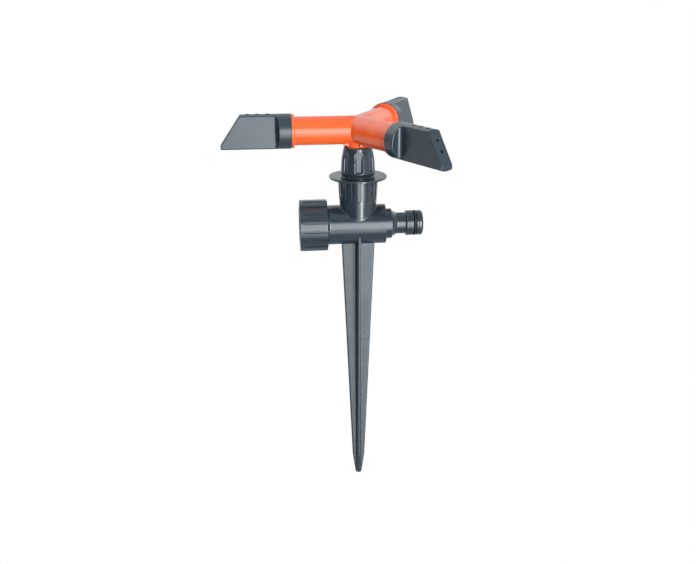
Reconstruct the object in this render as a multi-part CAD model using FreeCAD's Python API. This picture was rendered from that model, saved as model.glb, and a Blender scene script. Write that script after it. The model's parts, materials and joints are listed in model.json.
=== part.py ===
import FreeCAD, Part
import math
import os

# Three-arm rotary lawn sprinkler on a ground spike, in millimetres.
# The origin is the tip of the spike. +Z is up, along the axis that the rotor turns on. +X runs along the
# cross tube towards the hose plug, and the threaded hose inlet is at the -X end.
# Each function returns one sub-part in its assembled place.

# Ground spike: four fins, cut to the underside of the cross tube
SPIKE_TIP_HALF = 2.0
SPIKE_BEND_HALF = 4.1
SPIKE_BEND_Z = 15.0
SPIKE_TOP_HALF = 10.76
FIN_THICKNESS = 2.3
FIN_ROOT_RADIUS = 0.9
FIN_TIP_RADIUS = 1.5
FIN_EDGE_RADIUS = 0.9
TANG_RADIUS = 3.95
TANG_HEIGHT = 2.4
TANG_TOP_GAP = 0.1

# Cross tube with its threaded inlet collar (G 3/4 internal thread, modelled at its major radius)
TUBE_Z = 184.1
TUBE_RADIUS = 12.63
TUBE_BORE = 8.5
TUBE_END_X = 17.4
COLLAR_RADIUS = 16.4
COLLAR_OUTER_X = -37.7
COLLAR_INNER_X = -19.8
COLLAR_RIM_WIDTH = 2.7
COLLAR_EDGE_RADIUS = 0.9
COLLAR_FILLET = 1.5
COLLAR_GROOVE_WIDTH = 1.6
COLLAR_GROOVE_DEPTH = 1.0
GRIP_GROOVES = 18
INLET_THREAD_RADIUS = 13.22
INLET_SEAT_X = -22.3
INLET_CHAMFER = 0.8

# Two keys on the tube's end that stop the hose plug turning
KEY_LENGTH = 3.5
KEY_SPAN_DEG = 40.0
KEY_CENTRE_DEG = 17.5

# Vertical socket, slightly wider at its mouth
SOCKET_TOP_Z = 214.78
SOCKET_TOP_RADIUS = 12.7
SOCKET_BOTTOM_RADIUS = 11.27
SOCKET_BORE = 9.45
SOCKET_FLOOR_Z = 198.0
SOCKET_WATERWAY = 6.0
SOCKET_GROOVE_FLOOR = 11.6
SOCKET_GROOVE_WIDTH = 2.0
SOCKET_GROOVE_BOTTOM_Z = 201.5
SADDLE_FILLET = 0.6

# Hose plug: quick-connect male end, 16 mm head behind a narrower neck
PLUG_HEAD_RADIUS = 8.0
PLUG_NECK_RADIUS = 6.8
PLUG_BORE = 4.75
PLUG_SHOULDER_RADIUS = 9.6
PLUG_SHOULDER_END_X = 21.3
PLUG_NECK_START_X = 25.0
PLUG_HEAD_START_X = 30.3
PLUG_END_X = 41.5
PLUG_INSERT_START_X = 8.5
PLUG_GAPS_X = (32.7, 38.3)
PLUG_GAP_WIDTH = 0.5
PLUG_GAP_DEPTH = 0.5
PLUG_O_RING_X = 36.3
PLUG_O_RING_DEPTH = 1.6
PLUG_O_RING_PROUD = 0.2
PLUG_HEAD_BACK_RADIUS = 0.8
PLUG_NOSE_RADIUS = 1.6
INSERT_O_RING_X = 13.2
INSERT_O_RING_DEPTH = 1.5

# Inlet washer, in a pocket behind the thread, and filter
WASHER_POCKET_X = -25.0
WASHER_POCKET_RADIUS = 13.55
WASHER_THICKNESS = 2.5
WASHER_OUTER = 13.4
WASHER_INNER = 8.6
WASHER_EDGE_RADIUS = 0.3
FILTER_RADIUS = 8.55
FILTER_RIM = 1.0
FILTER_RISE = 4.0
FILTER_THICKNESS = 0.6

# Bearing housing: flange, slotted bell and a spigot that screws into the socket
FLANGE_RADIUS = 18.35
FLANGE_TOP_Z = 216.05
BELL_FOOT_RADIUS = 10.3
BELL_RADIUS = 11.0
BELL_BULGE_Z = 218.7
BELL_MIDDLE_RADIUS = 10.6
BELL_MIDDLE_Z = 226.5
BELL_TOP_RADIUS = 8.95
BELL_TOP_Z = 234.6
BELL_MOUTH = 7.9
BELL_SLOTS = 7
BELL_SLOT_FIRST_DEG = -91.5
BELL_SLOT_WIDTH = 2.8
BELL_SLOT_FLOOR = 9.35
BELL_SLOT_BOTTOM_Z = 219.8
BELL_SLOT_SHOULDER = 1.3
SPIGOT_RADIUS = 9.4
SPIGOT_BOTTOM_Z = 203.0
FLANGE_EDGE_RADIUS = 0.45
THRUST_FACE_Z = 228.2
UPPER_JOURNAL_BOTTOM_Z = 222.2
RELIEF_RADIUS = 6.2
SEAL_TOP_Z = 213.5
SEAL_BOTTOM_Z = 210.5
SEAL_POCKET_RADIUS = 7.2
HOUSING_O_RING_Z = 206.2
HOUSING_O_RING_DEPTH = 1.6

# Spindle, washers and retaining ring
SPINDLE_RADIUS = 5.0
SPINDLE_BORE = 3.2
SPINDLE_TOP_Z = 238.0
SPINDLE_BOTTOM_Z = 199.0
RUNNING_CLEARANCE = 0.05
UPPER_WASHER_THICKNESS = 0.9
LOWER_WASHER_THICKNESS = 0.95
THRUST_WASHER_OUTER = 7.2
RETAINING_RING_TOP_Z = 201.95
RETAINING_RING_THICKNESS = 1.2
RETAINING_RING_OUTER = 7.0
RETAINING_RING_INNER = 4.3
RETAINING_RING_GAP = 4.6
SPINDLE_O_RING_Z = 233.5
SPINDLE_O_RING_DEPTH = 1.0

# Rotor: three arms with a rim and a spigot each, on a short neck
ARM_Z = 244.9
ARM_RADIUS = 8.83
ARM_BORE = 6.3
ARM_AZIMUTHS = (180.0, -60.0, 60.0)
RIM_RADIUS = 10.5
RIM_START = 39.4
RIM_END = 41.1
NECK_RADIUS = 7.4
NECK_BOTTOM_Z = 229.2
NECK_FLARE_RADIUS = 1.8
NECK_FLARE_REACH = 9.63
NECK_FLARE_HALF_WIDTH = 4.2
HUB_INLET = 4.2
ARM_SPIGOT_RADIUS = 7.45
ARM_SPIGOT_END = 46.8
ARM_SPIGOT_BORE = 5.2
ARM_O_RING_AT = 42.9
ARM_O_RING_DEPTH = 1.2
SNAP_BEAD_AT = 45.3
SNAP_BEAD_RADIUS = 7.75
SNAP_BEAD_HALF_WIDTH = 0.5
SNAP_BEAD_PLAY = 0.1

# Nozzle cap: round collar that turns into a flat paddle with a slanted end
CAP_RADIUS = 10.76
CAP_START = 41.25
CAP_BORE = 7.5
CAP_BORE_END = 47.2
CAP_SHOULDER = 49.0
CAP_BLEND_RADIUS = 2.5
PADDLE_HALF_THICKNESS = 4.2
PADDLE_TOP_END = 72.4
PADDLE_BOTTOM_END = 84.85
PADDLE_BLUNT_HEIGHT = 3.3
PADDLE_BLUNT_RADIUS = 1.2
PADDLE_EDGE_RADIUS = 0.7
PADDLE_WALL = 2.0
CHAMBER_HALF_THICKNESS = 2.3
CHAMBER_HALF_HEIGHT = 8.6
TOP_JET_RADIUS = 0.8
END_JET_RADIUS = 0.95
JET_LENGTH = 5.0
JET_START = 0.5
JET_BOSS_RADIUS = 1.3
JET_BOSS_RISE = 0.15
TOP_JETS = (55.7, 61.8, 67.9)
END_JETS = (6.65, 13.5)

# Play between a seal and its walls, the spare width of its groove, and the gap of a pressed joint
SEAL_PLAY = 0.03
GROOVE_SPARE = 0.3
PRESS_GAP = 0.02

V = FreeCAD.Vector
X_AXIS = V(1, 0, 0)
Y_AXIS = V(0, 1, 0)
Z_AXIS = V(0, 0, 1)
ORIGIN = V(0, 0, 0)
TUBE_CENTRE = V(0, 0, TUBE_Z)
ARM_CENTRE = V(0, 0, ARM_Z)
FAR = 60.0
OVERCUT = 1.0
EDGE_SLACK = 0.01


def corner_arc(before, corner, after, radius):
    """Start, middle and end of the tangent arc that rounds a corner."""
    back = (before - corner).normalize()
    forth = (after - corner).normalize()
    half = back.getAngle(forth) / 2
    setback = radius / math.tan(half)
    inward = (back + forth).normalize()
    middle = corner + inward * (radius / math.sin(half) - radius)
    return corner + back * setback, middle, corner + forth * setback


def outline(points):
    """Face in the XZ plane from (x, z) or (x, z, corner radius) points."""
    corners = [V(p[0], 0, p[1]) for p in points]
    radii = [p[2] if len(p) > 2 else 0 for p in points]
    edges = []
    stops = []
    for i, corner in enumerate(corners):
        if radii[i]:
            following = corners[(i + 1) % len(corners)]
            start, middle, end = corner_arc(corners[i - 1], corner, following, radii[i])
            edges.append(Part.Arc(start, middle, end).toShape())
            stops.append((start, end))
        else:
            stops.append((corner, corner))
    for i, (_, leave) in enumerate(stops):
        arrive = stops[(i + 1) % len(stops)][0]
        if (arrive - leave).Length > 1e-6:
            edges.append(Part.makeLine(leave, arrive))
    return Part.Face(Part.Wire(Part.__sortEdges__(edges)))


def turned_z(points):
    """Solid of revolution about the rotor axis from (radius, z) points."""
    return outline(points).revolve(ORIGIN, Z_AXIS, 360)


def turned_x(points, height=TUBE_Z):
    """Solid of revolution about a level axis at that height from (x, radius) points."""
    raised = [(p[0], height + p[1]) + tuple(p[2:]) for p in points]
    return outline(raised).revolve(V(0, 0, height), X_AXIS, 360)


def prism_y(points, half_width):
    """Outline in the XZ plane, as thick as twice half_width, centred on that plane."""
    face = outline(points)
    face.translate(V(0, -half_width, 0))
    return face.extrude(V(0, 2 * half_width, 0))


def prism_z(points, low, high):
    """Outline of (x, y) points between two heights."""
    face = outline(points)
    face.rotate(ORIGIN, X_AXIS, -90)
    face.translate(V(0, 0, low))
    return face.extrude(V(0, 0, high - low))


def spun(shape, angle, centre=ORIGIN, axis=Z_AXIS):
    """Copy of a shape turned about an axis."""
    copy = shape.copy()
    copy.rotate(centre, axis, angle)
    return copy


def ring(radius, section, centre, axis):
    """O-ring: a torus of that mean radius and section radius."""
    return Part.makeTorus(radius, section, centre, axis)


def seal_in(inner, outer, centre, axis):
    """O-ring that fills the space between a groove floor and the wall round it."""
    section = (outer - inner) / 2 - SEAL_PLAY
    return ring((inner + outer) / 2, section, centre, axis)


def seal_width(inner, outer):
    """Width of the groove that holds such an O-ring."""
    return outer - inner + GROOVE_SPARE


def one_solid(shape):
    """The shape without the seams that its construction left on it."""
    clean = shape.removeSplitter()
    return clean.Solids[0] if len(clean.Solids) == 1 else clean


def fillet_where(shape, radius, wanted):
    """Rounds each edge that the test picks."""
    return shape.makeFillet(radius, [e for e in shape.Edges if wanted(e)])


# Ground spike

def spike_half_width(z):
    slope = (SPIKE_TOP_HALF - SPIKE_BEND_HALF) / (TUBE_Z - TUBE_RADIUS - SPIKE_BEND_Z)
    return SPIKE_BEND_HALF + slope * (z - SPIKE_BEND_Z)


def ground_spike():
    half = FIN_THICKNESS / 2
    reach = SPIKE_TOP_HALF + OVERCUT
    root = FIN_ROOT_RADIUS
    cross = prism_z([
        (half, half, root), (half, reach), (-half, reach), (-half, half, root),
        (-reach, half), (-reach, -half), (-half, -half, root), (-half, -reach),
        (half, -reach), (half, -half, root), (reach, -half), (reach, half),
    ], 0, TUBE_Z)
    top = spike_half_width(TUBE_Z)
    taper = [
        (-SPIKE_TIP_HALF, 0, FIN_TIP_RADIUS), (SPIKE_TIP_HALF, 0, FIN_TIP_RADIUS),
        (SPIKE_BEND_HALF, SPIKE_BEND_Z), (top, TUBE_Z), (-top, TUBE_Z), (-SPIKE_BEND_HALF, SPIKE_BEND_Z),
    ]
    across = prism_y(taper, reach)
    fins = cross.common(across).common(spun(across, 90))
    tube = Part.makeCylinder(TUBE_RADIUS, 2 * FAR, TUBE_CENTRE - X_AXIS * FAR, X_AXIS)
    tang_bottom = V(0, 0, TUBE_Z - TUBE_RADIUS - TANG_HEIGHT)
    tang = cross.common(Part.makeCylinder(TANG_RADIUS, 2 * TANG_HEIGHT, tang_bottom))
    body = fins.cut(tube).Solids[0]

    def long_edge(e):
        box = e.BoundBox
        runs_down = box.ZLength > SPIKE_BEND_Z / 2
        past_the_root = half + root + FIN_EDGE_RADIUS / 2
        return runs_down and max(box.XMax, -box.XMin, box.YMax, -box.YMin) > past_the_root
    body = fillet_where(body, FIN_EDGE_RADIUS, long_edge)
    return one_solid(body.fuse(tang))


# Cross tube, inlet collar and socket in one moulding

def grip_grooves(count, cutter, centre, axis):
    return [spun(cutter, 360.0 * i / count, centre, axis) for i in range(count)]


def key(angle):
    """Half-ring segment beyond the tube's end, centred at that angle above the front."""
    start = TUBE_END_X - OVERCUT
    length = OVERCUT + KEY_LENGTH
    sector = Part.makeCylinder(TUBE_RADIUS, length, V(start, 0, TUBE_Z), X_AXIS, KEY_SPAN_DEG)
    hollow = Part.makeCylinder(PLUG_SHOULDER_RADIUS + RUNNING_CLEARANCE, length, V(start, 0, TUBE_Z), X_AXIS)
    segment = sector.cut(hollow).Solids[0]
    seen = segment.CenterOfMass - TUBE_CENTRE
    now = math.degrees(math.atan2(seen.z, -seen.y))
    return spun(segment, now - angle, TUBE_CENTRE, X_AXIS)


def tee_outer():
    tube = turned_x([
        (COLLAR_OUTER_X, 0), (COLLAR_OUTER_X, COLLAR_RADIUS, COLLAR_EDGE_RADIUS / 2),
        (COLLAR_INNER_X, COLLAR_RADIUS, COLLAR_EDGE_RADIUS),
        (COLLAR_INNER_X, TUBE_RADIUS, COLLAR_FILLET),
        (TUBE_END_X, TUBE_RADIUS, COLLAR_EDGE_RADIUS / 2), (TUBE_END_X, 0),
    ])
    socket = Part.makeCone(SOCKET_BOTTOM_RADIUS, SOCKET_TOP_RADIUS, SOCKET_TOP_Z - TUBE_Z, TUBE_CENTRE)
    tee = tube.fuse(socket).removeSplitter()

    def saddle(e):
        box = e.BoundBox
        on_tube = TUBE_Z < box.ZMin and box.ZMax < TUBE_Z + TUBE_RADIUS + OVERCUT
        return on_tube and box.XMin > -SOCKET_TOP_RADIUS and box.XMax < SOCKET_TOP_RADIUS
    return fillet_where(tee, SADDLE_FILLET, saddle)


def collar_grooves():
    start = COLLAR_OUTER_X + COLLAR_RIM_WIDTH
    depth = COLLAR_GROOVE_DEPTH + OVERCUT
    cutter = Part.makeBox(
        COLLAR_INNER_X + OVERCUT / 2 - start, depth, COLLAR_GROOVE_WIDTH,
        V(start, -COLLAR_RADIUS - OVERCUT, TUBE_Z - COLLAR_GROOVE_WIDTH / 2),
    )
    return grip_grooves(GRIP_GROOVES, cutter, TUBE_CENTRE, X_AXIS)


def socket_grooves():
    depth = SOCKET_TOP_RADIUS - SOCKET_GROOVE_FLOOR + OVERCUT
    cutter = Part.makeBox(
        SOCKET_GROOVE_WIDTH, depth, SOCKET_TOP_Z - SOCKET_GROOVE_BOTTOM_Z + OVERCUT,
        V(-SOCKET_GROOVE_WIDTH / 2, -SOCKET_GROOVE_FLOOR - depth, SOCKET_GROOVE_BOTTOM_Z),
    )
    return grip_grooves(GRIP_GROOVES, cutter, ORIGIN, Z_AXIS)


def tee_body():
    tee = tee_outer()
    for side in (0, 180):
        tee = tee.fuse(key(KEY_CENTRE_DEG + side))
    waterway = turned_x([
        (COLLAR_OUTER_X - OVERCUT, 0),
        (COLLAR_OUTER_X - OVERCUT, INLET_THREAD_RADIUS + INLET_CHAMFER + OVERCUT),
        (COLLAR_OUTER_X + INLET_CHAMFER, INLET_THREAD_RADIUS), (WASHER_POCKET_X, INLET_THREAD_RADIUS),
        (WASHER_POCKET_X, WASHER_POCKET_RADIUS), (INLET_SEAT_X, WASHER_POCKET_RADIUS),
        (INLET_SEAT_X, TUBE_BORE), (TUBE_END_X + OVERCUT, TUBE_BORE), (TUBE_END_X + OVERCUT, 0),
    ])
    socket_bore = turned_z([
        (0, TUBE_Z), (SOCKET_WATERWAY, TUBE_Z), (SOCKET_WATERWAY, SOCKET_FLOOR_Z),
        (SOCKET_BORE, SOCKET_FLOOR_Z), (SOCKET_BORE, SOCKET_TOP_Z + OVERCUT), (0, SOCKET_TOP_Z + OVERCUT),
    ])
    tang_hole = Part.makeCylinder(
        TANG_RADIUS + RUNNING_CLEARANCE, TANG_HEIGHT + OVERCUT + TANG_TOP_GAP,
        V(0, 0, TUBE_Z - TUBE_RADIUS - OVERCUT),
    )
    cuts = [waterway, socket_bore, tang_hole] + collar_grooves() + socket_grooves()
    return one_solid(tee.cut(cuts))


# Hose plug and its seals

def hose_plug():
    insert = TUBE_BORE - RUNNING_CLEARANCE
    insert_floor = insert - INSERT_O_RING_DEPTH
    insert_half = seal_width(insert_floor, TUBE_BORE) / 2
    head = PLUG_HEAD_RADIUS
    head_floor = head - PLUG_O_RING_DEPTH
    head_half = seal_width(head_floor, head + PLUG_O_RING_PROUD) / 2
    shoulder = TUBE_END_X + PRESS_GAP
    blank = turned_x([
        (PLUG_INSERT_START_X, PLUG_BORE), (PLUG_INSERT_START_X, insert, 0.4),
        (INSERT_O_RING_X - insert_half, insert), (INSERT_O_RING_X - insert_half, insert_floor),
        (INSERT_O_RING_X + insert_half, insert_floor), (INSERT_O_RING_X + insert_half, insert),
        (shoulder, insert), (shoulder, PLUG_SHOULDER_RADIUS),
        (PLUG_SHOULDER_END_X, PLUG_SHOULDER_RADIUS, 0.7), (PLUG_SHOULDER_END_X + 0.6, head + 0.5),
        (PLUG_NECK_START_X - 0.6, PLUG_NECK_RADIUS, 2.5), (PLUG_HEAD_START_X, PLUG_NECK_RADIUS, 0.3),
        (PLUG_HEAD_START_X, head, PLUG_HEAD_BACK_RADIUS),
        (PLUG_O_RING_X - head_half, head, 0.2), (PLUG_O_RING_X - head_half, head_floor),
        (PLUG_O_RING_X + head_half, head_floor), (PLUG_O_RING_X + head_half, head, 0.2),
        (PLUG_END_X, head, PLUG_NOSE_RADIUS), (PLUG_END_X, PLUG_BORE, 0.5),
    ])
    floor = head - PLUG_GAP_DEPTH
    gaps = [
        turned_x([
            (start, floor), (start, head + OVERCUT),
            (start + PLUG_GAP_WIDTH, head + OVERCUT), (start + PLUG_GAP_WIDTH, floor),
        ])
        for start in PLUG_GAPS_X
    ]
    return one_solid(blank.cut(gaps))


def plug_insert_o_ring():
    inner = TUBE_BORE - RUNNING_CLEARANCE - INSERT_O_RING_DEPTH
    return seal_in(inner, TUBE_BORE, V(INSERT_O_RING_X, 0, TUBE_Z), X_AXIS)


def plug_head_o_ring():
    inner = PLUG_HEAD_RADIUS - PLUG_O_RING_DEPTH
    return seal_in(inner, PLUG_HEAD_RADIUS + PLUG_O_RING_PROUD, V(PLUG_O_RING_X, 0, TUBE_Z), X_AXIS)


def inlet_washer():
    face = INLET_SEAT_X - WASHER_THICKNESS
    return one_solid(turned_x([
        (face, WASHER_INNER), (face, WASHER_OUTER, WASHER_EDGE_RADIUS),
        (INLET_SEAT_X, WASHER_OUTER, WASHER_EDGE_RADIUS), (INLET_SEAT_X, WASHER_INNER),
    ]))


def filter_screen():
    """Domed screen that bulges into the tube, with a flat rim inside the washer."""
    face = INLET_SEAT_X - FILTER_THICKNESS
    foot = FILTER_RADIUS - FILTER_RIM
    ball = (foot ** 2 + FILTER_RISE ** 2) / (2 * FILTER_RISE)
    centre = V(INLET_SEAT_X + FILTER_RISE - ball, 0, TUBE_Z)
    dome = Part.makeSphere(ball, centre).cut(Part.makeSphere(ball - FILTER_THICKNESS, centre))
    behind = Part.makeBox(FAR, 2 * FAR, 2 * FAR, V(INLET_SEAT_X - FAR, -FAR, TUBE_Z - FAR))
    lap = foot - FILTER_THICKNESS
    plate = turned_x([
        (face, lap), (face, FILTER_RADIUS), (INLET_SEAT_X, FILTER_RADIUS), (INLET_SEAT_X, lap),
    ])
    return one_solid(dome.cut(behind).fuse(plate))


# Bearing housing and what turns in it

def bell_slots():
    """Upright channels in the bell, with rounded shoulders that follow its outline."""
    half = BELL_SLOT_WIDTH / 2
    shoulder = BELL_SLOT_SHOULDER
    reach = half + shoulder
    low = BELL_SLOT_BOTTOM_Z - shoulder
    outside = BELL_RADIUS + OVERCUT

    def crest(radius):
        return math.sqrt(radius ** 2 - reach ** 2)

    def stretch(foot, foot_radius, head, head_radius):
        top = crest(foot_radius)
        deep = top - 2 * shoulder
        face = outline([
            (deep, half), (top, half, shoulder), (top, reach), (outside, reach),
            (outside, -reach), (top, -reach), (top, -half, shoulder), (deep, -half),
        ])
        face.rotate(ORIGIN, X_AXIS, -90)
        face.translate(V(0, 0, foot))
        return face.extrude(V(crest(head_radius) - top, 0, head - foot))
    lower = stretch(low, BELL_RADIUS, BELL_MIDDLE_Z, BELL_MIDDLE_RADIUS)
    upper = stretch(BELL_MIDDLE_Z, BELL_MIDDLE_RADIUS, BELL_TOP_Z, BELL_TOP_RADIUS)
    depth = prism_y([
        (BELL_SLOT_FLOOR, BELL_TOP_Z), (BELL_SLOT_FLOOR, BELL_SLOT_BOTTOM_Z),
        (BELL_RADIUS, BELL_SLOT_BOTTOM_Z, shoulder), (BELL_RADIUS, low),
        (outside, low), (outside, BELL_TOP_Z),
    ], reach)
    cutter = spun(lower.fuse(upper).common(depth), BELL_SLOT_FIRST_DEG)
    return grip_grooves(BELL_SLOTS, cutter, ORIGIN, Z_AXIS)


def bearing_housing():
    journal = SPINDLE_RADIUS + RUNNING_CLEARANCE
    floor = SPIGOT_RADIUS - HOUSING_O_RING_DEPTH
    half = seal_width(floor, SOCKET_BORE) / 2
    bell = turned_z([
        (journal, SPIGOT_BOTTOM_Z), (SPIGOT_RADIUS, SPIGOT_BOTTOM_Z, 0.5),
        (SPIGOT_RADIUS, HOUSING_O_RING_Z - half), (floor, HOUSING_O_RING_Z - half),
        (floor, HOUSING_O_RING_Z + half), (SPIGOT_RADIUS, HOUSING_O_RING_Z + half),
        (SPIGOT_RADIUS, SOCKET_TOP_Z), (FLANGE_RADIUS, SOCKET_TOP_Z, FLANGE_EDGE_RADIUS),
        (FLANGE_RADIUS, FLANGE_TOP_Z, FLANGE_EDGE_RADIUS),
        (BELL_FOOT_RADIUS, FLANGE_TOP_Z, 0.3), (BELL_RADIUS, BELL_BULGE_Z, 1.5),
        (BELL_MIDDLE_RADIUS, BELL_MIDDLE_Z, 30), (BELL_TOP_RADIUS, BELL_TOP_Z, 0.7),
        (BELL_MOUTH, BELL_TOP_Z, 0.2), (BELL_MOUTH, THRUST_FACE_Z),
        (journal, THRUST_FACE_Z), (journal, UPPER_JOURNAL_BOTTOM_Z),
        (RELIEF_RADIUS, UPPER_JOURNAL_BOTTOM_Z), (RELIEF_RADIUS, SEAL_TOP_Z),
        (SEAL_POCKET_RADIUS, SEAL_TOP_Z), (SEAL_POCKET_RADIUS, SEAL_BOTTOM_Z), (journal, SEAL_BOTTOM_Z),
    ])
    return one_solid(bell.cut(bell_slots()))


def housing_o_ring():
    inner = SPIGOT_RADIUS - HOUSING_O_RING_DEPTH
    return seal_in(inner, SOCKET_BORE, V(0, 0, HOUSING_O_RING_Z), Z_AXIS)


def spindle_seal():
    inner = SPINDLE_RADIUS + SEAL_PLAY
    outer = SEAL_POCKET_RADIUS - SEAL_PLAY
    low = SEAL_BOTTOM_Z + SEAL_PLAY
    high = SEAL_TOP_Z - SEAL_PLAY
    return one_solid(turned_z([
        (inner, low, 0.4), (outer, low, 0.4), (outer, high, 0.4), (inner, high, 0.4),
    ]))


def washer(inner, outer, low, high):
    return one_solid(turned_z([(inner, low), (outer, low), (outer, high), (inner, high)]))


def upper_thrust_washer():
    return washer(
        SPINDLE_RADIUS + RUNNING_CLEARANCE, THRUST_WASHER_OUTER,
        NECK_BOTTOM_Z - UPPER_WASHER_THICKNESS, NECK_BOTTOM_Z,
    )


def lower_thrust_washer():
    return washer(
        SPINDLE_RADIUS + RUNNING_CLEARANCE, THRUST_WASHER_OUTER,
        SPIGOT_BOTTOM_Z - LOWER_WASHER_THICKNESS, SPIGOT_BOTTOM_Z,
    )


def rotor_spindle():
    ring_low = RETAINING_RING_TOP_Z - RETAINING_RING_THICKNESS - SEAL_PLAY
    ring_floor = RETAINING_RING_INNER - SEAL_PLAY
    floor = SPINDLE_RADIUS - SPINDLE_O_RING_DEPTH
    half = seal_width(floor, SPINDLE_RADIUS) / 2
    return one_solid(turned_z([
        (SPINDLE_BORE, SPINDLE_BOTTOM_Z), (SPINDLE_RADIUS, SPINDLE_BOTTOM_Z, 0.4),
        (SPINDLE_RADIUS, ring_low), (ring_floor, ring_low), (ring_floor, RETAINING_RING_TOP_Z + SEAL_PLAY),
        (SPINDLE_RADIUS, RETAINING_RING_TOP_Z + SEAL_PLAY),
        (SPINDLE_RADIUS, SPINDLE_O_RING_Z - half), (floor, SPINDLE_O_RING_Z - half),
        (floor, SPINDLE_O_RING_Z + half), (SPINDLE_RADIUS, SPINDLE_O_RING_Z + half),
        (SPINDLE_RADIUS, SPINDLE_TOP_Z), (SPINDLE_BORE, SPINDLE_TOP_Z),
    ]))


def spindle_o_ring():
    inner = SPINDLE_RADIUS - SPINDLE_O_RING_DEPTH
    return seal_in(inner, SPINDLE_RADIUS, V(0, 0, SPINDLE_O_RING_Z), Z_AXIS)


def retaining_ring():
    """Open clip in the spindle's lower groove."""
    low = RETAINING_RING_TOP_Z - RETAINING_RING_THICKNESS
    whole = washer(RETAINING_RING_INNER, RETAINING_RING_OUTER, low, RETAINING_RING_TOP_Z)
    gap = Part.makeBox(
        RETAINING_RING_GAP, FAR, FAR, V(-RETAINING_RING_GAP / 2, 0, low - FAR / 2)
    )
    return one_solid(whole.cut(gap))


# Rotor: arms are drawn along +X and turned into place

def on_arm(shape, azimuth):
    return spun(shape, azimuth)


def arm_outer():
    return turned_x([
        (0, 0), (0, ARM_RADIUS), (RIM_START, ARM_RADIUS, 0.3), (RIM_START, RIM_RADIUS, 0.4),
        (RIM_END, RIM_RADIUS, 0.3), (RIM_END, ARM_SPIGOT_RADIUS), (ARM_SPIGOT_END, ARM_SPIGOT_RADIUS, 0.5),
        (ARM_SPIGOT_END, 0),
    ], ARM_Z)


def snap_bead(extra):
    """Half-round ring that keeps a nozzle cap on, or with extra its groove in the cap."""
    half = SNAP_BEAD_HALF_WIDTH + extra
    return turned_x([
        (SNAP_BEAD_AT - half, ARM_SPIGOT_RADIUS - 0.5), (SNAP_BEAD_AT - half, SNAP_BEAD_RADIUS + extra, 0.2),
        (SNAP_BEAD_AT + half, SNAP_BEAD_RADIUS + extra, 0.2), (SNAP_BEAD_AT + half, ARM_SPIGOT_RADIUS - 0.5),
    ], ARM_Z)


def arm_o_ring_groove():
    floor = ARM_SPIGOT_RADIUS - ARM_O_RING_DEPTH
    half = seal_width(floor, CAP_BORE) / 2
    wide = ARM_SPIGOT_RADIUS + OVERCUT
    return turned_x([
        (ARM_O_RING_AT - half, floor), (ARM_O_RING_AT - half, wide),
        (ARM_O_RING_AT + half, wide), (ARM_O_RING_AT + half, floor),
    ], ARM_Z)


def arm_bore():
    return turned_x([
        (0, 0), (0, ARM_BORE), (RIM_START, ARM_BORE), (RIM_START + 2, ARM_SPIGOT_BORE),
        (ARM_SPIGOT_END + OVERCUT, ARM_SPIGOT_BORE), (ARM_SPIGOT_END + OVERCUT, 0),
    ], ARM_Z)


def rotor_manifold():
    arm = arm_outer().fuse(snap_bead(0)).cut(arm_o_ring_groove())
    arm_foot = ARM_Z - ARM_RADIUS
    flare_foot = arm_foot - 2 * NECK_FLARE_RADIUS
    rotor = turned_z([
        (0, NECK_BOTTOM_Z), (NECK_RADIUS, NECK_BOTTOM_Z, 0.3), (NECK_RADIUS, ARM_Z), (0, ARM_Z),
    ])
    flare_round = turned_z([
        (0, flare_foot), (NECK_RADIUS, flare_foot), (NECK_RADIUS, arm_foot, NECK_FLARE_RADIUS),
        (NECK_FLARE_REACH, arm_foot), (NECK_FLARE_REACH, ARM_Z), (0, ARM_Z),
    ])
    under_arm = Part.makeBox(
        FAR, 2 * NECK_FLARE_HALF_WIDTH, FAR, V(0, -NECK_FLARE_HALF_WIDTH, ARM_Z - FAR),
    )
    flare = flare_round.common(under_arm)
    for azimuth in ARM_AZIMUTHS:
        rotor = rotor.fuse([on_arm(arm, azimuth), on_arm(flare, azimuth)])
    cuts = [on_arm(arm_bore(), azimuth) for azimuth in ARM_AZIMUTHS]
    cuts.append(Part.makeCylinder(HUB_INLET, ARM_Z - NECK_BOTTOM_Z, V(0, 0, NECK_BOTTOM_Z)))
    seat_bottom = NECK_BOTTOM_Z - OVERCUT
    seat_radius = SPINDLE_RADIUS + PRESS_GAP
    cuts.append(Part.makeCylinder(seat_radius, SPINDLE_TOP_Z - seat_bottom, V(0, 0, seat_bottom)))
    return one_solid(rotor.cut(cuts))


def nozzle_o_ring(azimuth):
    centre = ARM_CENTRE + X_AXIS * ARM_O_RING_AT
    return on_arm(seal_in(ARM_SPIGOT_RADIUS - ARM_O_RING_DEPTH, CAP_BORE, centre, X_AXIS), azimuth)


def end_face_point(along, depth):
    """Point on the slanted end's centreline, at a distance from its top corner and below its face."""
    top = V(PADDLE_TOP_END, 0, ARM_Z + CAP_RADIUS)
    bottom = V(PADDLE_BOTTOM_END, 0, ARM_Z - CAP_RADIUS + PADDLE_BLUNT_HEIGHT)
    down = (bottom - top).normalize()
    outward = V(-down.z, 0, down.x)
    return top + down * along - outward * depth, outward


def paddle_side():
    """What is taken off one side of the collar to leave the flat paddle, with a round hollow at its foot."""
    wide = CAP_RADIUS + OVERCUT
    past = PADDLE_BOTTOM_END + OVERCUT
    flat = PADDLE_HALF_THICKNESS
    face = outline([
        (CAP_SHOULDER, flat, CAP_BLEND_RADIUS), (CAP_SHOULDER, wide), (past, wide), (past, flat),
    ])
    face.rotate(ORIGIN, X_AXIS, -90)
    face.translate(V(0, 0, ARM_Z - FAR / 2))
    return face.extrude(Z_AXIS * FAR)


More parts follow.
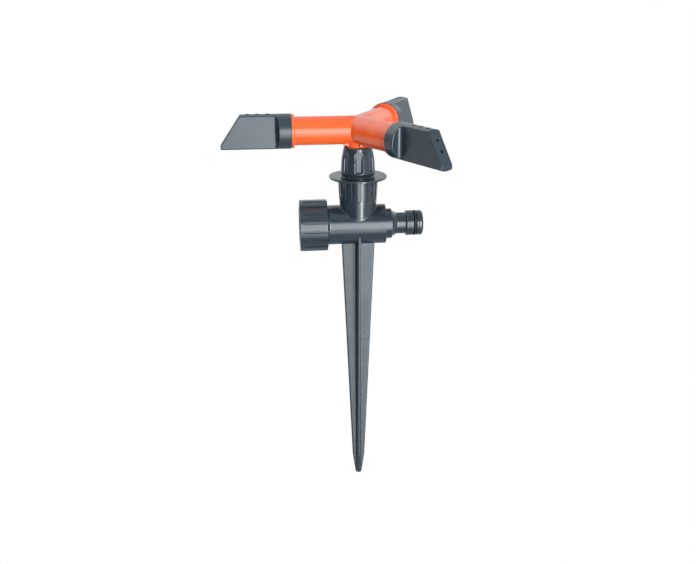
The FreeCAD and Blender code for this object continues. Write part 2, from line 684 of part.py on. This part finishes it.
def chamber():
    """Flat water space inside the paddle."""
    high = CHAMBER_HALF_HEIGHT
    mouth = CAP_BORE_END - 0.6
    mouth_half = CAP_BORE - 0.4
    full = CAP_BORE_END + 1.2
    slant_top, outward = end_face_point(0, PADDLE_WALL)
    lean = -outward.z / outward.x
    far = PADDLE_BOTTOM_END - PADDLE_WALL
    top_end = slant_top.x + (ARM_Z + high - slant_top.z) * lean
    low_corner = slant_top.z + (far - slant_top.x) / lean
    return prism_y([
        (mouth, ARM_Z - mouth_half), (full, ARM_Z - high), (far, ARM_Z - high), (far, low_corner),
        (top_end, ARM_Z + high), (full, ARM_Z + high), (mouth, ARM_Z + mouth_half),
    ], CHAMBER_HALF_THICKNESS)


def cap_blank():
    """Round bar cut to the cap's side view, with both flat sides taken off."""
    round_bar = Part.makeCylinder(CAP_RADIUS, FAR, V(CAP_START, 0, ARM_Z), X_AXIS)
    above = ARM_Z + CAP_RADIUS + OVERCUT
    below = ARM_Z - CAP_RADIUS - OVERCUT
    top_corner, outward = end_face_point(0, 0)
    lean = -outward.z / outward.x
    side_view = prism_y([
        (CAP_START, below), (PADDLE_BOTTOM_END, below),
        (PADDLE_BOTTOM_END, ARM_Z - CAP_RADIUS + PADDLE_BLUNT_HEIGHT, PADDLE_BLUNT_RADIUS),
        (top_corner.x + OVERCUT * lean, above), (CAP_START, above),
    ], FAR)
    side = paddle_side()
    other = side.mirror(ORIGIN, Y_AXIS)
    return round_bar.common(side_view).cut([side, other]).removeSplitter()


def cap_edges(e):
    """The paddle's outer edges: its two flat sides' outlines beyond the blend."""
    return e.BoundBox.XMin > CAP_SHOULDER + CAP_BLEND_RADIUS - EDGE_SLACK


def nozzle_cap(azimuth):
    cap = fillet_where(cap_blank(), PADDLE_EDGE_RADIUS, cap_edges)
    bosses = []
    jets = []
    boss_height = CAP_RADIUS + JET_BOSS_RISE - CHAMBER_HALF_HEIGHT
    for along in TOP_JETS:
        roof = V(along, 0, ARM_Z + CHAMBER_HALF_HEIGHT)
        bosses.append(Part.makeCylinder(JET_BOSS_RADIUS, boss_height, roof))
        jets.append(Part.makeCylinder(TOP_JET_RADIUS, JET_LENGTH, roof - Z_AXIS * JET_START))
    for along in END_JETS:
        inside, outward = end_face_point(along, PADDLE_WALL + JET_START)
        jets.append(Part.makeCylinder(END_JET_RADIUS, JET_LENGTH, inside, outward))
    bore = turned_x([
        (CAP_START - OVERCUT, 0), (CAP_START - OVERCUT, CAP_BORE),
        (CAP_BORE_END, CAP_BORE), (CAP_BORE_END, 0),
    ], ARM_Z)
    cap = cap.fuse(bosses).cut([bore, chamber(), snap_bead(SNAP_BEAD_PLAY)] + jets)
    return on_arm(one_solid(cap), azimuth)


def sub_parts():
    """Every node's name and solid."""
    singles = (
        tee_body, ground_spike, hose_plug, plug_insert_o_ring, plug_head_o_ring, inlet_washer, filter_screen,
        bearing_housing, housing_o_ring, spindle_seal, lower_thrust_washer,
        rotor_manifold, rotor_spindle, spindle_o_ring, upper_thrust_washer, retaining_ring,
    )
    for maker in singles:
        yield maker.__name__, maker()
    for number, azimuth in enumerate(ARM_AZIMUTHS, 1):
        yield f"nozzle_cap_{number}", nozzle_cap(azimuth)
        yield f"nozzle_o_ring_{number}", nozzle_o_ring(azimuth)


os.makedirs("parts", exist_ok=True)
for node, shape in sub_parts():
    shape.exportStep(f"parts/{node}.step")
    print(f"{node:22s} solids {len(shape.Solids)} valid {shape.isValid()} {shape.Volume:10.1f} mm3")
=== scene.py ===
import json
import math

import bmesh
import bpy
from mathutils import Matrix, Vector


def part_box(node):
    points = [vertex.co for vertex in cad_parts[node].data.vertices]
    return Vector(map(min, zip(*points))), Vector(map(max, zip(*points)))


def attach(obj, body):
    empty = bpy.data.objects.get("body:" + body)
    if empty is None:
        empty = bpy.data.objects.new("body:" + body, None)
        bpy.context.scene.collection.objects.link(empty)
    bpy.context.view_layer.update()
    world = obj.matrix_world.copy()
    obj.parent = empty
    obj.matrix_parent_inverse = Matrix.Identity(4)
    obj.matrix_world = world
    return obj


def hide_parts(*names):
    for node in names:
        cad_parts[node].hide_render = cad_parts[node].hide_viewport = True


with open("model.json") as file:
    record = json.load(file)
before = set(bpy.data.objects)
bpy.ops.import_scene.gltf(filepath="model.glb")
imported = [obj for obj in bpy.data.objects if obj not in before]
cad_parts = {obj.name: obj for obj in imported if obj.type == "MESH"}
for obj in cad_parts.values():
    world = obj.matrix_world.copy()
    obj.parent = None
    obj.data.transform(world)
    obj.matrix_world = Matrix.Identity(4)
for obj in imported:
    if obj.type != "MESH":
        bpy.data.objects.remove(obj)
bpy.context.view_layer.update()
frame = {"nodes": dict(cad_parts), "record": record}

MM = 0.001
NODES = frame["nodes"]

# The horizontal tube's axis and the inlet collar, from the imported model.
WASHER_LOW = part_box("inlet_washer")[0]
SCREEN_LOW, SCREEN_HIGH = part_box("filter_screen")
TEE_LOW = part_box("tee_body")[0]
TUBE_Z = (SCREEN_LOW.z + SCREEN_HIGH.z) / 2

# Inlet thread, G 3/4: pitch, crest radius and root radius, and its distance from the collar's ends.
THREAD_PITCH = 1.814 * MM
THREAD_CREST = 12.12 * MM
THREAD_ROOT = 13.24 * MM
THREAD_BURIED = 0.06 * MM
THREAD_ROUNDING = 0.12 * MM
THREAD_SHOULDER = 0.07 * MM
THREAD_START_GAP = 1.5 * MM
THREAD_END_GAP = 0.9 * MM
THREAD_STEPS_PER_TURN = 72

# Woven wire of the filter, its pressed rim, and the dome's place in the CAD's filter.
WIRE_RADIUS = 0.13 * MM
WIRE_SPACING = 0.95 * MM
WEAVE_DEPTH = 0.12 * MM
RIM_WIRE_RADIUS = 0.45 * MM
RIM_INSET = 0.5 * MM
RIM_STEPS = 96
DOME_INSET = 0.9 * MM
DOME_SEAT = 0.3 * MM
DOME_ROOM = 0.7 * MM

# Edges: how far the mould's rounding and the rubbed band reach.
SOFT_EDGE = 0.15 * MM
RUBBED_EDGE = 0.45 * MM


# Materials

class Nodes:
    """Short calls for the few nodes that the materials and the room's light use."""

    def __init__(self, tree):
        self.tree = tree
        tree.nodes.clear()

    def node(self, kind, inputs=None, **settings):
        node = self.tree.nodes.new(kind)
        for key, value in settings.items():
            setattr(node, key, value)
        for key, value in (inputs or {}).items():
            self.set(node, key, value)
        return node

    def set(self, node, key, value):
        socket = node.inputs[key]
        if isinstance(value, bpy.types.NodeSocket):
            self.tree.links.new(value, socket)
        else:
            socket.default_value = value

    def ramp(self, value, low, high, out_low=0.0, out_high=1.0):
        return self.node("ShaderNodeMapRange", {
            "Value": value, "From Min": low, "From Max": high, "To Min": out_low, "To Max": out_high,
        }, interpolation_type="SMOOTHSTEP").outputs[0]

    def math(self, operation, a, b=0.0, clamp=False):
        return self.node("ShaderNodeMath", {0: a, 1: b}, operation=operation, use_clamp=clamp).outputs[0]

    def white_to_camera(self, otherwise):
        """White paper to the camera, and the shader given to every other ray."""
        seen = self.node("ShaderNodeEmission", {"Color": (*PAPER, 1)}).outputs[0]
        camera_ray = self.node("ShaderNodeLightPath").outputs["Is Camera Ray"]
        return self.node("ShaderNodeMixShader", {0: camera_ray, 1: otherwise, 2: seen}).outputs[0]


class Graph(Nodes):
    """A material's node tree."""

    def __init__(self, name):
        self.material = bpy.data.materials.new(name)
        self.material.use_nodes = True
        super().__init__(self.material.node_tree)
        self.coords = self.node("ShaderNodeTexCoord").outputs["Object"]

    def noise(self, scale, detail, roughness, stretch=(1, 1, 1), offset=(0, 0, 0)):
        """Smooth noise about 0.5; scale is in cells a metre, and stretch squeezes it along an axis."""
        placing = {"Vector": self.coords, "Scale": stretch, "Location": offset}
        place = self.node("ShaderNodeMapping", placing).outputs[0]
        return self.node("ShaderNodeTexNoise", {
            "Vector": place, "Scale": scale, "Detail": detail, "Roughness": roughness,
        }).outputs["Fac"]

    def mix(self, factor, a, b):
        node = self.node("ShaderNodeMix", data_type="RGBA")
        self.set(node, 0, factor)
        for key, value in ((6, a), (7, b)):
            self.set(node, key, value if isinstance(value, bpy.types.NodeSocket) else (*value, 1))
        return node.outputs[2]

    def edges(self, radius):
        """1 on sharp convex and concave edges, 0 on flats."""
        bevel = self.node("ShaderNodeBevel", {"Radius": radius}, samples=6)
        plain = self.node("ShaderNodeNewGeometry").outputs["Normal"]
        dot = self.node("ShaderNodeVectorMath", {0: bevel.outputs[0], 1: plain}, operation="DOT_PRODUCT")
        return self.ramp(dot.outputs["Value"], 0.995, 0.86)

    def bump(self, height, depth, normal=None):
        inputs = {"Height": height, "Distance": depth, "Strength": 1.0}
        if normal is not None:
            inputs["Normal"] = normal
        return self.node("ShaderNodeBump", inputs).outputs[0]

    def finish(self, **inputs):
        named = {key.replace("_", " "): value for key, value in inputs.items()}
        shader = self.node("ShaderNodeBsdfPrincipled", named)
        output = self.node("ShaderNodeOutputMaterial")
        self.set(output, 0, shader.outputs[0])
        return self.material


def shade(colour, factor):
    return tuple(c * factor for c in colour)


def moulded(name, colour, roughness, grain, worn, flow=(1, 1, 1), shine=0.5, seed=0.0):
    """Injection-moulded plastic: uneven pigment, flow streaks, a fine mould grain and rubbed edges."""
    g = Graph(name)
    offset = (seed, seed * 0.7, -seed)
    pigment = g.ramp(g.noise(38, 3, 0.55, offset=offset), 0.32, 0.68)
    streaks = g.ramp(g.noise(120, 4, 0.6, stretch=flow, offset=offset), 0.35, 0.7)
    speckle = g.noise(2600, 2, 0.6)
    rub = g.math("MULTIPLY", g.edges(RUBBED_EDGE), g.ramp(g.noise(260, 4, 0.65), 0.42, 0.66))
    base = g.mix(pigment, shade(colour, 0.93), shade(colour, 1.07))
    base = g.mix(g.math("MULTIPLY", streaks, 0.35), base, shade(colour, 1.16))
    base = g.mix(g.ramp(speckle, 0.58, 0.8, 0.0, 0.22), base, shade(colour, 1.5))
    base = g.mix(g.math("MULTIPLY", rub, 0.45), base, worn)
    smudge = g.ramp(g.noise(70, 5, 0.6, offset=(0.3, 0.1, 0.2)), 0.3, 0.75, -0.03, 0.04)
    rough = g.math("ADD", smudge, g.ramp(speckle, 0.3, 0.7, roughness - 0.03, roughness + 0.03))
    rough = g.math("ADD", rough, g.math("MULTIPLY", rub, 0.12), clamp=True)
    soft = g.node("ShaderNodeBevel", {"Radius": SOFT_EDGE}, samples=4).outputs[0]
    sink = g.bump(g.noise(85, 2, 0.5), 0.05 * MM, soft)
    skin = g.bump(g.noise(1700, 3, 0.6), grain, sink)
    return g.finish(Base_Color=base, Roughness=rough, Normal=skin, Specular_IOR_Level=shine)


def rubber():
    """Black nitrile rubber, a little bloomed and matt."""
    g = Graph("seal_rubber")
    bloom = g.ramp(g.noise(420, 4, 0.6), 0.4, 0.75)
    base = g.mix(bloom, (0.003, 0.005, 0.007), (0.010, 0.013, 0.017))
    rough = g.ramp(bloom, 0, 1, 0.42, 0.6)
    skin = g.bump(g.noise(2400, 3, 0.6), 0.005 * MM)
    return g.finish(Base_Color=base, Roughness=rough, Normal=skin, Specular_IOR_Level=0.3)


def steel(name, colour, roughness, line_scale):
    """Drawn stainless steel with fine lines along the wire."""
    g = Graph(name)
    lines = g.noise(line_scale, 3, 0.6, stretch=(1, 1, 6))
    base = g.mix(g.ramp(lines, 0.35, 0.7), shade(colour, 0.8), colour)
    rough = g.ramp(lines, 0.3, 0.7, roughness - 0.06, roughness + 0.1)
    skin = g.bump(lines, 0.01 * MM)
    return g.finish(Base_Color=base, Metallic=1.0, Roughness=rough, Normal=skin)


DARK_GREY = (0.012, 0.018, 0.025)
RUBBED_GREY = (0.05, 0.062, 0.075)
ORANGE = (0.57, 0.072, 0.013)
MATERIALS = {
    "body_plastic": moulded("body_plastic", DARK_GREY, 0.20, 0.004 * MM, RUBBED_GREY, flow=(0.25, 1, 1)),
    "spike_plastic": moulded("spike_plastic", DARK_GREY, 0.25, 0.006 * MM, RUBBED_GREY,
                             flow=(1, 1, 0.12), seed=0.31),
    "nozzle_plastic": moulded("nozzle_plastic", DARK_GREY, 0.31, 0.008 * MM, RUBBED_GREY, seed=0.57),
    "rotor_plastic": moulded("rotor_plastic", ORANGE, 0.20, 0.003 * MM, (0.95, 0.33, 0.16), shine=0.44,
                             seed=0.83),
    "bearing_plastic": moulded("bearing_plastic", (0.72, 0.71, 0.66), 0.32, 0.01 * MM, (0.8, 0.8, 0.76)),
    "seal_rubber": rubber(),
    "clip_steel": steel("clip_steel", (0.58, 0.57, 0.55), 0.26, 900),
    "screen_steel": steel("screen_steel", (0.62, 0.61, 0.59), 0.3, 1600),
}
for part in frame["record"]["subparts"]:
    for slot in NODES[part["node"]].material_slots:
        slot.material = MATERIALS[part["material_slot"]]


# Pieces that the CAD leaves plain

def add_piece(name, mesh, slot, body):
    for polygon in mesh.polygons:
        polygon.use_smooth = True
    mesh.materials.append(MATERIALS[slot])
    piece = bpy.data.objects.new(name, mesh)
    bpy.context.scene.collection.objects.link(piece)
    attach(piece, body)
    return piece


def inlet_thread():
    """One helical ridge with 55 degree flanks on the wall of the inlet, fading in and out at its ends."""
    start = TEE_LOW.x + THREAD_START_GAP
    turns = (WASHER_LOW.x - THREAD_END_GAP - start) / THREAD_PITCH
    count = int(turns * THREAD_STEPS_PER_TURN)
    fade = THREAD_STEPS_PER_TURN / 3
    half_root = 0.46 * THREAD_PITCH
    half_crest = 0.13 * THREAD_PITCH
    half_shoulder = half_crest + THREAD_SHOULDER
    mesh = bpy.data.meshes.new("inlet_thread")
    work = bmesh.new()
    rows = []
    for step in range(count + 1):
        height = min(1, step / fade, (count - step) / fade)
        height = max(0.02, math.sin(height * math.pi / 2))
        angle = 2 * math.pi * step / THREAD_STEPS_PER_TURN
        middle = start + THREAD_PITCH * step / THREAD_STEPS_PER_TURN
        crest = THREAD_ROOT - (THREAD_ROOT - THREAD_CREST) * height
        shoulder = crest + THREAD_ROUNDING * height
        section = [
            (-half_root, THREAD_ROOT + THREAD_BURIED), (-half_root, THREAD_ROOT),
            (-half_shoulder, shoulder), (-half_crest, crest),
            (half_crest, crest), (half_shoulder, shoulder),
            (half_root, THREAD_ROOT), (half_root, THREAD_ROOT + THREAD_BURIED),
        ]
        rows.append([
            work.verts.new((middle + dx, r * math.cos(angle), TUBE_Z + r * math.sin(angle)))
            for dx, r in section
        ])
    sides = len(rows[0])
    for near, far in zip(rows, rows[1:]):
        for i in range(sides):
            j = (i + 1) % sides
            work.faces.new((near[i], near[j], far[j], far[i]))
    work.faces.new(rows[0])
    work.faces.new(list(reversed(rows[-1])))
    bmesh.ops.recalc_face_normals(work, faces=work.faces)
    work.to_mesh(mesh)
    work.free()
    add_piece("inlet_thread", mesh, "body_plastic", "base")


def wire(work, points, radius, sides=6, closed=False):
    """A round wire through the points."""
    rows = []
    count = len(points)
    for i, point in enumerate(points):
        after = points[(i + 1) % count] if closed or i + 1 < count else point
        before = points[i - 1] if closed or i else point
        along = (after - before).normalized()
        side = along.cross(Vector((1, 0, 0)))
        side = side.normalized() if side.length > 1e-6 else Vector((0, 1, 0))
        up = along.cross(side)
        rows.append([
            work.verts.new(point + radius * (math.cos(t) * side + math.sin(t) * up))
            for t in (2 * math.pi * k / sides for k in range(sides))
        ])
    pairs = list(zip(rows, rows[1:])) + ([(rows[-1], rows[0])] if closed else [])
    for near, far in pairs:
        for k in range(sides):
            n = (k + 1) % sides
            work.faces.new((near[k], near[n], far[n], far[k]))
    if not closed:
        work.faces.new(list(reversed(rows[0])))
        work.faces.new(rows[-1])


def filter_mesh():
    """Woven wire dome with a pressed rim, in the inlet washer."""
    rim_outer = (SCREEN_HIGH.y - SCREEN_LOW.y) / 2
    foot = rim_outer - DOME_INSET
    seat = SCREEN_LOW.x + DOME_SEAT
    rise = SCREEN_HIGH.x - SCREEN_LOW.x - DOME_ROOM
    ball = (foot ** 2 + rise ** 2) / (2 * rise)
    lines = int(foot / WIRE_SPACING)
    mesh = bpy.data.meshes.new("filter_mesh")
    work = bmesh.new()
    for turned in (False, True):
        for line in range(-lines, lines + 1):
            across = line * WIRE_SPACING
            reach = math.sqrt(foot ** 2 - across ** 2)
            points = []
            count = max(2, int(reach / (WIRE_SPACING / 4)))
            for k in range(-count, count + 1):
                along = reach * k / count
                lift = math.sqrt(ball ** 2 - across ** 2 - along ** 2) - (ball - rise)
                phase = math.pi * along / WIRE_SPACING + (0 if turned else math.pi) + math.pi * line
                x = seat + max(0.0, lift) + WEAVE_DEPTH * math.cos(phase)
                y, z = (across, along) if turned else (along, across)
                points.append(Vector((x, y, TUBE_Z + z)))
            wire(work, points, WIRE_RADIUS)
    rim = rim_outer - RIM_INSET
    ring = [
        Vector((seat, math.cos(t) * rim, TUBE_Z + math.sin(t) * rim))
        for t in (2 * math.pi * k / RIM_STEPS for k in range(RIM_STEPS))
    ]
    wire(work, ring, RIM_WIRE_RADIUS, sides=10, closed=True)
    bmesh.ops.recalc_face_normals(work, faces=work.faces)
    work.to_mesh(mesh)
    work.free()
    piece = add_piece("filter_mesh", mesh, "screen_steel", "base")
    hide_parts("filter_screen")


inlet_thread()
filter_mesh()


# Floor, light and camera

PAPER = (1.0, 1.0, 1.0)
FLOOR_HALF = 40.0


def floor():
    """White ground that takes no light and gives none."""
    g = Graph("floor")
    clear = g.node("ShaderNodeBsdfTransparent").outputs[0]
    output = g.node("ShaderNodeOutputMaterial")
    g.set(output, 0, g.white_to_camera(clear))
    mesh = bpy.data.meshes.new("floor")
    corners = [(FLOOR_HALF * x, FLOOR_HALF * y, 0) for x, y in ((-1, -1), (1, -1), (1, 1), (-1, 1))]
    mesh.from_pydata(corners, [], [(0, 1, 2, 3)])
    mesh.materials.append(g.material)
    piece = bpy.data.objects.new("floor", mesh)
    bpy.context.scene.collection.objects.link(piece)


class Room(Nodes):
    """The light on the object: soft-edged panels by azimuth (0 in front, 90 right) and elevation."""

    def __init__(self):
        world = bpy.data.worlds.new("room")
        bpy.context.scene.world = world
        world.use_nodes = True
        super().__init__(world.node_tree)
        towards = self.node("ShaderNodeTexCoord").outputs["Generated"]
        split = self.node("ShaderNodeSeparateXYZ", {0: towards})
        front = self.math("MULTIPLY", split.outputs["Y"], -1.0)
        self.azimuth = self.math("ARCTAN2", split.outputs["X"], front)
        self.elevation = self.math("ARCSINE", split.outputs["Z"])
        self.total = None

    def panel(self, strength, azimuths, elevations, soft):
        """Adds a panel between two azimuths and two elevations, in degrees, with edges that are soft."""
        shape = self.math("MULTIPLY", self.span(self.azimuth, azimuths, soft),
                          self.span(self.elevation, elevations, soft))
        lit = self.math("MULTIPLY", shape, strength)
        self.total = lit if self.total is None else self.math("ADD", self.total, lit)

    def span(self, value, limits, soft):
        """1 between the limits, falling to 0 past each of them."""
        low, high = limits
        rise = self.ramp(value, math.radians(low - soft / 2), math.radians(low + soft / 2))
        fall = self.ramp(value, math.radians(high + soft / 2), math.radians(high - soft / 2))
        return self.math("MULTIPLY", rise, fall)

    def finish(self, tint):
        lit = self.node("ShaderNodeBackground", {"Color": (*tint, 1), "Strength": self.total}).outputs[0]
        output = self.node("ShaderNodeOutputWorld")
        self.set(output, 0, self.white_to_camera(lit))


# The room's light is a little cool, and its panels are given by strength, azimuths, elevations and
# softness of the edges, in degrees.
TINT = (0.88, 0.96, 1.0)
ALL_ROUND = (-200, 200)
BACK_LEFT, BACK_RIGHT = (-200, -150), (150, 200)
PANELS = (
    (0.15, ALL_ROUND, (-100, 100), 10),     # the room itself
    (19.0, (14, 24), (-29, 22), 5),         # upright key strip, a little to the right
    (3.2, (-9, 32), (-38, 25), 12),         # its tall diffuser
    (4.6, (-9, 30), (-14, 20), 8),          # the diffuser's brighter middle
    (0.9, (32, 150), (-35, 40), 20),        # fill from the right
    (0.8, (-150, -88), (-45, 35), 20),      # weaker fill from the left
    (1.8, (-115, -15), (32, 62), 16),       # high fill, front left
    (1.6, (-175, -100), (30, 62), 16),      # high fill, back left
    (0.5, (100, 200), (32, 58), 16),        # high fill, back right
    (0.8, ALL_ROUND, (42, 100), 30),        # ceiling
    (0.4, ALL_ROUND, (-100, -42), 20),      # table
    (1.15, (-200, -125), (11, 30), 6),      # back wall above the horizon, left
    (1.15, (125, 200), (11, 30), 6),        # and right
    (1.8, BACK_LEFT, (-26, 4), 10),         # back wall below it, left
    (1.8, BACK_RIGHT, (-26, 4), 10),        # and right
)


def room():
    light = Room()
    for strength, azimuths, elevations, soft in PANELS:
        light.panel(strength, azimuths, elevations, soft)
    light.finish(TINT)


CAMERA_AT = (-0.04908, -0.53930, 0.34269)
CAMERA_TILT, CAMERA_TURN, CAMERA_ROLL = 69.880, -4.493, -0.364
CAMERA_LENS_MM, CAMERA_SENSOR_MM = 45.2, 36


def camera():
    data = bpy.data.cameras.new("camera")
    data.sensor_width = CAMERA_SENSOR_MM
    data.lens = CAMERA_LENS_MM
    data.clip_start = 0.01
    data.clip_end = 200
    eye = bpy.data.objects.new("camera", data)
    turn = Matrix.Rotation(math.radians(CAMERA_TURN), 4, "Z")
    tilt = Matrix.Rotation(math.radians(CAMERA_TILT), 4, "X")
    roll = Matrix.Rotation(math.radians(CAMERA_ROLL), 4, "Z")
    eye.matrix_world = Matrix.Translation(CAMERA_AT) @ turn @ tilt @ roll
    bpy.context.scene.collection.objects.link(eye)
    bpy.context.scene.camera = eye


floor()
room()
camera()
bpy.context.scene.view_settings.view_transform = "Standard"
